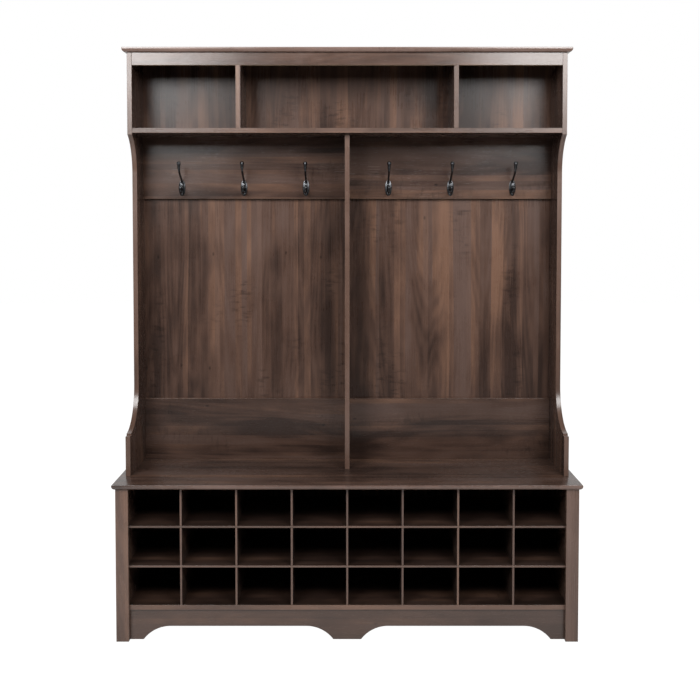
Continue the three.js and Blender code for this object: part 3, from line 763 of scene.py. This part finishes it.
@dataclass
class Joiner:
    """Makes faced boards in place of the frame's nodes and keeps count, so that no two share their print."""

    ease: float = 0.6 * MM
    made: int = 0

    def span(self, node: str, axis: Axis) -> Span:
        """Where a node starts and ends on an axis."""
        low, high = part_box(node)
        return low[axis.value], high[axis.value]

    def board(
        self,
        node: str,
        slot: str,
        axis: Axis,
        face: Laminate,
        grain: Grain,
        outline: np.ndarray | None = None,
        rear: bpy.types.Material | None = None,
        edge: Laminate = EDGE,
    ) -> bpy.types.Object:
        """Makes one faced board with banded edges.

        Args:
            node: The frame's node it stands for, whose box it fills.
            slot: The record's material slot; not used.
            axis: The axis of the board's thickness.
            face: The laminate on its broad faces.
            grain: The way the print runs.
            outline: Its outline, or nothing for a plain rectangle.
            rear: A finish for the broad face that looks at the wall, if it has one of its own.
            edge: The laminate on its edges.

        Returns:
            The finished piece.
        """
        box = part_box(node)
        others = [a for a in Axis if a is not axis]
        if outline is None:
            outline = rectangle(self.span(node, others[0]), self.span(node, others[1]))
        shell = slab(outline, axis, self.span(node, axis))
        self.made += 1
        seed = 1.37 * self.made
        name = f"faced_{node}"
        beside = next(a for a in others if a is not grain.value)
        banded = edge.on(f"{name}_edge", box, grain, beside, seed + 0.5)
        finishes = [face.on(name, box, grain, axis, seed), banded, CORE.on_any()]
        if rear is not None:
            finishes.append(rear)
            corners = [shell.points[list(f)] for f in shell.faces[-2:]]
            at_wall = int(np.argmax([c[:, 1].mean() for c in corners]))
            shell.finish_of[len(shell.faces) - 2 + at_wall] = 3
        thickness = abs(box[1][axis.value] - box[0][axis.value])
        piece = eased(placed(name, shell, finishes), min(self.ease, 0.2 * thickness))
        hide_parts(node)
        return piece

    def moulded_top(self, node: str, slot: str, radius: float, lip: float) -> bpy.types.Object:
        """Makes a top with its lower edge rounded at the front and ends, and a small round on the upper edge.

        Args:
            node: The frame's node it stands for.
            slot: The record's material slot; not used.
            radius: The radius of the lower rounding.
            lip: The radius of the upper one.

        Returns:
            The finished piece.
        """
        low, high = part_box(node)
        upper = arc((lip, high.z - lip), lip, 0.5 * math.pi, math.pi, 6)
        lower = arc((radius, low.z + radius), radius, math.pi, 1.5 * math.pi, 20)
        shell = moulded_slab((low.x, high.x), low.y, high.y, np.concatenate([upper, lower]))
        shell.finish_of[-1] = 1
        self.made += 1
        name = f"faced_{node}"
        skin = TOP.on(name, (low, high), Grain.LEVEL, Axis.Z, 1.37 * self.made)
        moulding = MOULDING.on(f"{name}_edge", (low, high), Grain.LEVEL, Axis.Z, 1.37 * self.made)
        piece = eased(placed(name, shell, [skin, CORE.on_any(), moulding]), self.ease)
        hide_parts(node)
        return piece


@dataclass
class Bench:
    """The shoe bench: its moulded seat, sides, floor, arched kick board and grid of thin boards."""

    joiner: Joiner
    seat_radius: float = 12 * MM
    seat_lip: float = 1.2 * MM
    arch_radius: float = 111 * MM
    arch_top: float = 47 * MM
    centre_foot: float = 91 * MM
    end_foot: float = 53 * MM
    gap: float = 0.3 * MM
    stop: float = 12 * MM
    tongue: float = 4.7 * MM
    shelves: tuple[str, ...] = ("shoe_shelf_lower", "shoe_shelf_upper")
    dividers: tuple[str, ...] = tuple(f"shoe_divider_{i}" for i in range(1, 8))

    def build(self) -> None:
        """Builds every piece of the bench."""
        self.joiner.moulded_top("bench_top", "top_laminate", self.seat_radius, self.seat_lip)
        for side in ("left", "right"):
            self.joiner.board(f"bench_gable_{side}", "panel_laminate", Axis.X, PANEL, Grain.UPRIGHT)
            self.joiner.board(f"stile_{side}", "edge_board", Axis.Y, EDGE, Grain.UPRIGHT)
        self.joiner.board("bench_bottom", "panel_laminate", Axis.Z, SHADED, Grain.LEVEL)
        kick = self.kick_outline()
        self.joiner.board("kick_board", "panel_laminate", Axis.Y, KICK, Grain.LEVEL, kick)
        self.joiner.board("rear_kick_board", "panel_laminate", Axis.Y, PANEL, Grain.LEVEL)
        self.joiner.board("centre_support", "panel_laminate", Axis.X, PANEL, Grain.DEEP)
        self.joiner.board(
            "bench_back", "back_laminate", Axis.Y, BACK, Grain.UPRIGHT, rear=HARDBOARD.on_any()
        )
        for node in self.dividers:
            self.joiner.board(node, "edge_board", Axis.X, SHADED, Grain.DEEP, self.divider_outline(node))
        for node in self.shelves:
            self.joiner.board(node, "edge_board", Axis.Z, SHADED, Grain.LEVEL, self.shelf_outline(node))

    def kick_outline(self) -> np.ndarray:
        """The arched outline in (X, Z): each arch is level along its top and comes down at both ends on
        an arc whose centre lies one radius below the top, until the arc meets the board's foot.

        Returns:
            The outline's corners, in order.
        """
        (x0, x1), (z0, z1) = self.joiner.span("kick_board", Axis.X), self.joiner.span("kick_board", Axis.Z)
        centre = self.arch_top - self.arch_radius
        angle = math.asin((z0 - centre) / self.arch_radius)
        run = self.arch_radius * math.cos(angle)
        middle = (x0 + x1) / 2
        lines = [np.array([(x0, z1), (x0, z0)])]
        for start, end in (
            (x0 + self.end_foot, middle - self.centre_foot / 2),
            (middle + self.centre_foot / 2, x1 - self.end_foot),
        ):
            lines.append(arc((start + run, centre), self.arch_radius, math.pi - angle, math.pi / 2, 20))
            lines.append(arc((end - run, centre), self.arch_radius, math.pi / 2, angle, 20))
        lines.append(np.array([(x1, z0), (x1, z1)]))
        return np.concatenate(lines)

    def divider_outline(self, node: str) -> np.ndarray:
        """An upright grid board in (Y, Z), slotted from the front to the middle for each shelf, and
        cut back at the top and foot of its front so that its tongues stop behind the front edge.

        Args:
            node: The board's node in the frame.

        Returns:
            The outline's corners, in order.
        """
        (y0, y1), (z0, z1) = self.joiner.span(node, Axis.Y), self.joiner.span(node, Axis.Z)
        middle = (y0 + y1) / 2 + self.gap
        spans = [self.joiner.span(s, Axis.Z) for s in self.shelves]
        slots = [(p, z) for s in spans for p, z in (
            (y0, s[0] - self.gap), (middle, s[0] - self.gap), (middle, s[1] + self.gap), (y0, s[1] + self.gap)
        )]
        step = self.tongue + self.gap
        back = y0 + self.stop + self.gap
        return np.array(
            [(y0, z0 + step), *slots, (y0, z1 - step), (back, z1 - step), (back, z1), (y1, z1), (y1, z0)]
            + [(back, z0), (back, z0 + step)]
        )

    def shelf_outline(self, node: str) -> np.ndarray:
        """A level grid board in (X, Y), slotted from the back to the middle for each upright."""
        (x0, x1), (y0, y1) = self.joiner.span(node, Axis.X), self.joiner.span(node, Axis.Y)
        middle = (y0 + y1) / 2 - self.gap
        spans = [self.joiner.span(d, Axis.X) for d in reversed(self.dividers)]
        slots = [(x, y) for s in spans for x, y in (
            (s[1] + self.gap, y1), (s[1] + self.gap, middle), (s[0] - self.gap, middle), (s[0] - self.gap, y1)
        )]
        return np.array([(x0, y0), (x1, y0), (x1, y1), *slots, (x0, y1)])


@dataclass
class Hutch:
    """The hutch: scooped gables, top, shelf, dividers, rails and thin backs."""

    joiner: Joiner
    top_radius: float = 12 * MM
    top_lip: float = 1.2 * MM
    arm_ledge: float = 18 * MM
    arm_rise: float = 134 * MM
    arm_riser: float = 7 * MM
    waist_depth: float = 130 * MM
    arm_ratio: float = 1.13
    head_depth: float = 207 * MM
    head_ratio: float = 1.82
    head_drop: float = 6 * MM
    gap: float = 0.3 * MM

    def build(self) -> None:
        """Builds every board of the hutch."""
        board = self.joiner.board
        self.joiner.moulded_top("hutch_top", "top_laminate", self.top_radius, self.top_lip)
        board("top_fascia", "rail_laminate", Axis.Y, FASCIA, Grain.LEVEL)
        board("hutch_shelf", "edge_board", Axis.Z, PANEL, Grain.LEVEL)
        board("centre_divider", "panel_laminate", Axis.X, PANEL, Grain.UPRIGHT)
        rear = HARDBOARD.on_any()
        for node in ("hutch_back_upper", "hutch_back_left", "hutch_back_right"):
            board(node, "back_laminate", Axis.Y, BACK, Grain.UPRIGHT, rear=rear)
        for side in ("left", "right"):
            outline = self.gable_outline(f"hutch_gable_{side}")
            board(f"hutch_gable_{side}", "panel_laminate", Axis.X, PANEL, Grain.UPRIGHT, outline)
            notched = self.divider_outline(f"cubby_divider_{side}")
            board(f"cubby_divider_{side}", "panel_laminate", Axis.X, PANEL, Grain.UPRIGHT, notched)
            board(f"hook_rail_{side}", "rail_laminate", Axis.Y, RAIL, Grain.LEVEL)
            board(f"lower_rail_{side}", "rail_laminate", Axis.Y, RAIL, Grain.LEVEL)

    def gable_outline(self, node: str) -> np.ndarray:
        """The side of the hutch in (Y, Z): from the head, one arc hollows back to the waist and a second
        comes forward again to a small riser and ledge on the arm. Each arc's centre lies one radius in
        front of the waist, and its radius is a fixed multiple of how far it comes forward.

        Args:
            node: The gable's node in the frame.

        Returns:
            The outline's corners, in order.
        """
        (y0, y1), (z0, z1) = self.joiner.span(node, Axis.Y), self.joiner.span(node, Axis.Z)
        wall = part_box("hutch_back_left")[1].y
        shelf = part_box("hutch_shelf")[0].z
        waist, head = wall - self.waist_depth, wall - self.head_depth
        ledge_z = z0 - self.gap + self.arm_rise
        ledge_y = y0 + self.arm_ledge
        low_r = self.arm_ratio * (waist - ledge_y)
        high_r = self.head_ratio * (waist - head)
        low_angle = math.acos((ledge_y - (waist - low_r)) / low_r)
        high_angle = math.acos((head - (waist - high_r)) / high_r)
        low_centre = (waist - low_r, ledge_z + self.arm_riser + low_r * math.sin(low_angle))
        high_centre = (waist - high_r, shelf - self.head_drop - high_r * math.sin(high_angle))
        return np.concatenate(
            [
                np.array([(y1, z0), (y1, z1), (head, z1)]),
                arc(high_centre, high_r, high_angle, 0.0, 36),
                arc(low_centre, low_r, 0.0, -low_angle, 48),
                np.array([(ledge_y, ledge_z), (y0, ledge_z), (y0, z0)]),
            ]
        )

    def divider_outline(self, node: str) -> np.ndarray:
        """An upright between the small compartments in (Y, Z), notched at its top front corner."""
        (y0, y1), (z0, z1) = self.joiner.span(node, Axis.Y), self.joiner.span(node, Axis.Z)
        notch_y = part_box("top_fascia")[1].y + self.gap
        notch_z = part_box("top_fascia")[0].z - self.gap
        return np.array([(y1, z0), (y1, z1), (notch_y, z1), (notch_y, notch_z), (y0, notch_z), (y0, z0)])


@dataclass
class CoatHook:
    """A cast double hook: an oval plate, a tall upper arm with a ball and collar, and a short lower arm."""

    number: int
    plate_height: float = 57 * MM
    plate_width: float = 24 * MM
    plate_thickness: float = 4 * MM
    rim: float = 1.2 * MM
    crown: float = 1.9 * MM
    arm_radius: float = 3.6 * MM
    upper: tuple[Span, ...] = (
        (-1.4, 20.5),
        (-14.8, 29.5),
        (-32.6, 37.7),
        (-51.1, 45.9),
        (-65.1, 56.6),
        (-71.0, 68.9),
        (-74.0, 82.0),
    )
    lower: tuple[Span, ...] = ((-1.0, -5.6), (-16.0, -14.5), (-28.8, -17.0), (-38.0, -11.9), (-40.0, 0.0))
    upper_ball: float = 7.5 * MM
    lower_ball: float = 6.0 * MM
    collar_radius: float = 5.3 * MM
    collar_length: float = 13 * MM
    collar_taper: float = 5 * MM
    root_flare: float = 2.6 * MM
    screws: tuple[tuple[str, float], ...] = (("upper", 9.5 * MM), ("lower", -21 * MM))
    head_radius: float = 3.8 * MM
    sides: int = 28

    def origin(self) -> Vector:
        """The middle of the plate's back, from the box of the frame's hook."""
        low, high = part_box(f"hook_{self.number}")
        return Vector(((low.x + high.x) / 2, high.y, low.z + self.plate_height / 2))

    def crown_at(self, share: np.ndarray) -> np.ndarray:
        """How far the plate's face stands out from its back: the full thickness less the crown times the
        share squared.

        Args:
            share: How far from the plate's middle to its rim, from 0 to 1.

        Returns:
            The distance from the plate's back, for each share.
        """
        return self.plate_thickness - self.crown * share**2

    def plate(self) -> Shell:
        """The oval plate. A ring at share s of the oval is (s a cos t, y, s b sin t), and y goes from the
        flat back round the rim's quarter circle to the crowned face.

        Returns:
            The plate as one closed shell.
        """
        t = np.linspace(0, 2 * np.pi, 72, endpoint=False)[None, :]
        turn = np.linspace(0, np.pi / 2, 7)[:, None]
        rolled = self.rim * (1 - np.cos(turn))
        inset = np.concatenate([[[0.4 * MM]], [[0.0]], rolled, np.full((12, 1), self.rim)])
        front = self.plate_thickness - self.crown - self.rim
        share = np.concatenate([np.ones((9, 1)), np.linspace(0.96, 0.02, 12)[:, None]])
        rounded = front + self.rim * np.sin(turn)
        depth = np.concatenate([[[0.0]], [[0.4 * MM]], rounded, self.crown_at(share[9:])])
        a, b = self.plate_width / 2 - inset, self.plate_height / 2 - inset
        rings = np.stack([share * a * np.cos(t), -depth + 0 * t, share * b * np.sin(t)], axis=-1)
        wear = np.repeat(0.7 * np.exp(-(((np.arange(21) - 5) / 2.0) ** 2))[:, None], 72, axis=1)
        return swept(rings, wear)

    def arm(self, knots: Sequence[Span], ball: float, collared: bool) -> Shell:
        """An arm that ends in a ball. The radius is the rod's, plus a flare that dies away from the root,
        plus the collar's sleeve; over the ball it is the half chord of the ball at that distance along.

        Args:
            knots: Points of the arm's middle line, in millimetres out from the plate and up.
            ball: The ball's radius.
            collared: Whether a sleeve fits round the rod below the ball.

        Returns:
            The arm as one closed shell.
        """
        path = smooth_path(np.array(knots) * MM, 96)
        step = np.linalg.norm(np.diff(path, axis=0), axis=1)
        run = np.concatenate([[0], np.cumsum(step)])
        direction = (path[-1] - path[-2]) / step[-1]
        flare = self.root_flare * np.exp(-run / (3.2 * MM))
        to_centre = run[-1] - run
        sleeve = np.zeros_like(run)
        if collared:
            share = np.clip((ball + self.collar_length - to_centre) / self.collar_taper, 0, 1)
            sleeve = (self.collar_radius - self.arm_radius) * share * share * (3 - 2 * share)
        radius = self.arm_radius + flare + sleeve
        stem = to_centre > ball * 0.72
        angle = np.linspace(math.acos(-0.72), 0.004, 26)[1:]
        tail = path[-1] + (ball * np.cos(angle))[:, None] * direction
        centres = np.concatenate([path[stem], tail])
        radii = np.concatenate([radius[stem], ball * np.sin(angle)])
        rings = tube(centres, radii, self.sides)
        wear = np.concatenate([np.zeros(stem.sum()), np.linspace(0.2, 0.6, len(tail))])
        return swept(rings, np.repeat(wear[:, None], self.sides, axis=1))

    def screw(self, height: float) -> Shell:
        """A screw head with a cross recess. On rings of radius s the dome stands out by its height times
        one minus s squared, less the recess's depth where the smaller of |x| and |z| is within the slot.

        Args:
            height: The screw's height above the plate's middle.

        Returns:
            The head as one closed shell.
        """
        origin = self.origin()
        ring = np.concatenate([[1.0, 1.0], np.linspace(0.97, 0.02, 18)])[:, None]
        t = np.linspace(0, 2 * np.pi, 48, endpoint=False)[None, :]
        x, z = ring * np.cos(t) * self.head_radius, ring * np.sin(t) * self.head_radius
        near, far = np.minimum(abs(x), abs(z)), np.maximum(abs(x), abs(z))
        narrow = 1 + np.exp((near - 0.55 * MM) / (0.07 * MM))
        short = 1 + np.exp((far - 2.1 * MM) / (0.10 * MM))
        slot = 1 / narrow / short
        out = 0.7 * MM * (1 - ring**2) - 1.1 * MM * slot
        out[0] = -1.2 * MM
        face = self.crown_at(np.array(abs(height) / (self.plate_height / 2)))
        y = -face - 0.05 * MM - out
        points = np.stack([x + origin.x, y + origin.y, z + origin.z + height], axis=-1)
        wear = np.clip(1.2 - ring + 0 * t, 0, 1) * (0.4 + 0.6 * slot)
        return swept(points, wear)

    def build(self) -> None:
        """Builds the hook and its two screws in place of the frame's."""
        arms = [self.arm(self.upper, self.upper_ball, True), self.arm(self.lower, self.lower_ball, False)]
        casting = joined([self.plate(), *arms])
        casting.points = casting.points + np.array(self.origin())
        hook = placed(f"cast_hook_{self.number}", casting, [BLACK_CASTING.on_any()])
        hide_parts(f"hook_{self.number}")
        for end, height in self.screws:
            screw = placed(f"hook_{self.number}_head_{end}", self.screw(height), [SCREW_STEEL.on_any()])
            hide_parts(f"hook_{self.number}_screw_{end}")


@dataclass
class Fittings:
    """The small hardware that nobody sees from the front: glides, and the pins that hold the thin backs."""

    glides: tuple[str, ...] = (
        "glide_left_front",
        "glide_left_rear",
        "glide_right_front",
        "glide_right_rear",
        "glide_centre",
    )
    backs: tuple[str, ...] = ("hutch_back_upper", "hutch_back_left", "hutch_back_right", "bench_back")
    pin_spacing: float = 115 * MM
    pin_inset: float = 8 * MM
    pin_radius: float = 1.6 * MM
    pin_height: float = 0.35 * MM

    def build(self) -> None:
        """Builds the glides and the rows of pins."""
        for node in self.glides:
            self.glide(node)
        for node in self.backs:
            self.pins(node)

    def glide(self, node: str) -> None:
        """One glide: a profile that rolls from the flat foot to the widest ring, turned round Z."""
        low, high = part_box(node)
        radius, height = (high.x - low.x) / 2, high.z - low.z
        roll = np.linspace(0, np.pi / 2, 9)
        r = np.concatenate([[0.05, 0.45], 0.68 + 0.32 * np.sin(roll), [0.96, 0.5, 0.05]]) * radius
        z = np.concatenate([[0.0, 0.0], 0.8 * (1 - np.cos(roll)), [1.0, 1.0, 1.0]]) * height
        rings = lathed(np.stack([r, z], axis=1), 40)[:, :, [0, 2, 1]]
        rings += np.array([(low.x + high.x) / 2, (low.y + high.y) / 2, low.z])
        piece = placed(f"nail_on_{node}", swept(rings, 0.3 + 0 * rings[:, :, 0]), [GLIDE_PLASTIC.on_any()])
        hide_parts(node)

    def pins(self, node: str) -> None:
        """A row of pin heads round the rear of a thin back, evenly spaced along each side."""
        low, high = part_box(node)
        inset = self.pin_inset
        x = np.linspace(low.x + inset, high.x - inset, max(2, round((high.x - low.x) / self.pin_spacing) + 1))
        z = np.linspace(low.z + inset, high.z - inset, max(2, round((high.z - low.z) / self.pin_spacing) + 1))
        spots = [(a, b) for a in x for b in (z[0], z[-1])] + [(a, b) for a in (x[0], x[-1]) for b in z[1:-1]]
        dome = np.linspace(0, np.pi / 2, 4)[:-1]
        profile = np.stack([self.pin_radius * np.cos(dome), self.pin_height * np.sin(dome)], axis=1)
        profile = np.concatenate([[(self.pin_radius, -0.2 * MM)], profile])
        head = lathed(profile, 12)
        shells = [swept(head + np.array([a, high.y, b]), 0.5 + 0 * head[:, :, 0]) for a, b in spots]
        piece = placed(f"pins_{node}", joined(shells), [PIN_STEEL.on_any()])


# ---------------------------------------------------------------------------------------------------------
# Studio
# ---------------------------------------------------------------------------------------------------------


@dataclass(frozen=True)
class Softbox:
    """A square of soft light: its middle, what it points at, its size and its power."""

    name: str
    place: tuple[float, float, float]
    aim: tuple[float, float, float]
    width: float
    height: float
    power: float
    colour: Colour = (1.0, 1.0, 1.0)

    def build(self) -> None:
        """Puts the light in the scene."""
        light = bpy.data.lights.new(self.name, "AREA")
        light.shape = "RECTANGLE"
        light.size, light.size_y = self.width, self.height
        light.energy = self.power
        light.color = self.colour
        lamp = bpy.data.objects.new(self.name, light)
        lamp.location = self.place
        lamp.visible_camera = False
        lamp.rotation_euler = (Vector(self.aim) - Vector(self.place)).to_track_quat("-Z", "Y").to_euler()
        bpy.context.scene.collection.objects.link(lamp)


@dataclass
class Studio:
    """The pale floor, the soft lights, the white surround and the camera."""

    camera_distance: float = 3.341
    camera_height: float = 1.368
    camera_pitch: float = math.radians(2.384)
    lens: float = 53.78
    shift: Span = (0.004, -0.12)
    floor_half: float = 14.0
    surround: float = 0.02
    boxes: tuple[Softbox, ...] = field(
        default_factory=lambda: (
            Softbox("softbox_left", (-1.42, -2.45, 2.76), (-0.4, 0.0, 1.75), 1.38, 1.5, 92.0),
            Softbox("softbox_right", (1.42, -2.45, 2.76), (0.4, 0.0, 1.75), 1.38, 1.5, 86.0),
            Softbox("backdrop", (0.0, 2.8, 1.7), (0.0, 0.0, 1.7), 6.0, 3.2, 55.0),
            Softbox("rear_fill", (0.0, 4.5, 3.2), (0.0, 0.2, 1.0), 3.0, 1.6, 60.0),
            Softbox("side_fill_left", (-4.0, 1.0, 1.9), (-0.7, 0.1, 1.0), 1.6, 2.2, 42.0),
            Softbox("side_fill_right", (4.0, 1.0, 1.9), (0.7, 0.1, 1.0), 1.6, 2.2, 42.0),
        )
    )

    def build(self) -> None:
        """Sets up the whole studio."""
        self.floor()
        self.world()
        for box in self.boxes:
            box.build()
        self.camera()

    def floor(self) -> None:
        """A pale floor that stays almost white and keeps a trace of shade under the bench."""
        half = self.floor_half
        corners = [(-half, -half, 0), (half, -half, 0), (half, half, 0), (-half, half, 0)]
        mesh = bpy.data.meshes.new("floor")
        mesh.from_pydata(corners, [], [(0, 1, 2, 3)])
        material = bpy.data.materials.new("floor_white")
        material.use_nodes = True
        r = Recipe(material.node_tree)
        matt = r.node("ShaderNodeBsdfDiffuse")
        matt.inputs["Color"].default_value = (0.80, 0.80, 0.80, 1.0)
        glow = r.node("ShaderNodeEmission")
        glow.inputs["Strength"].default_value = 1.15
        seen = r.math("MULTIPLY", r.node("ShaderNodeLightPath").outputs["Is Camera Ray"], 0.88)
        mix = r.node("ShaderNodeMixShader")
        r.feed(mix.inputs[0], seen)
        r.feed(mix.inputs[1], matt.outputs[0])
        r.feed(mix.inputs[2], glow.outputs[0])
        r.feed(r.node("ShaderNodeOutputMaterial").inputs["Surface"], mix.outputs[0])
        mesh.materials.append(material)
        floor = bpy.data.objects.new("floor", mesh)
        bpy.context.scene.collection.objects.link(floor)

    def world(self) -> None:
        """A surround that is seen as white and lights the object only faintly."""
        world = bpy.data.worlds.new("surround")
        bpy.context.scene.world = world
        world.use_nodes = True
        r = Recipe(world.node_tree)
        seen = r.node("ShaderNodeBackground")
        seen.inputs["Strength"].default_value = 1.0
        seen.inputs["Color"].default_value = (1.0, 1.0, 1.0, 1.0)
        felt = r.node("ShaderNodeBackground")
        felt.inputs["Color"].default_value = (1.0, 1.0, 1.0, 1.0)
        felt.inputs["Strength"].default_value = self.surround
        mix = r.node("ShaderNodeMixShader")
        r.feed(mix.inputs[0], r.node("ShaderNodeLightPath").outputs["Is Camera Ray"])
        r.feed(mix.inputs[1], felt.outputs[0])
        r.feed(mix.inputs[2], seen.outputs[0])
        r.feed(r.node("ShaderNodeOutputWorld").inputs["Surface"], mix.outputs[0])

    def camera(self) -> None:
        """A camera straight in front, tipped a little down, its lens shifted to take in the whole piece."""
        data = bpy.data.cameras.new("camera")
        data.lens = self.lens
        data.sensor_width = 36.0
        data.shift_x, data.shift_y = self.shift
        data.dof.use_dof = False
        data.clip_end = 100.0
        camera = bpy.data.objects.new("camera", data)
        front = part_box("bench_top")[0].y
        camera.location = (0.0, front - self.camera_distance, self.camera_height)
        camera.rotation_euler = (math.pi / 2 - self.camera_pitch, 0.0, 0.0)
        bpy.context.scene.collection.objects.link(camera)
        bpy.context.scene.camera = camera
        bpy.context.scene.view_settings.view_transform = "Standard"


def main() -> None:
    """Builds the studio and every sub-assembly."""
    logging.basicConfig(level=logging.INFO, format="%(name)s: %(message)s")
    Studio().build()
    joiner = Joiner()
    Bench(joiner).build()
    Hutch(joiner).build()
    for number in range(1, 7):
        CoatHook(number).build()
    Fittings().build()


if __name__ == "__main__":
    main()
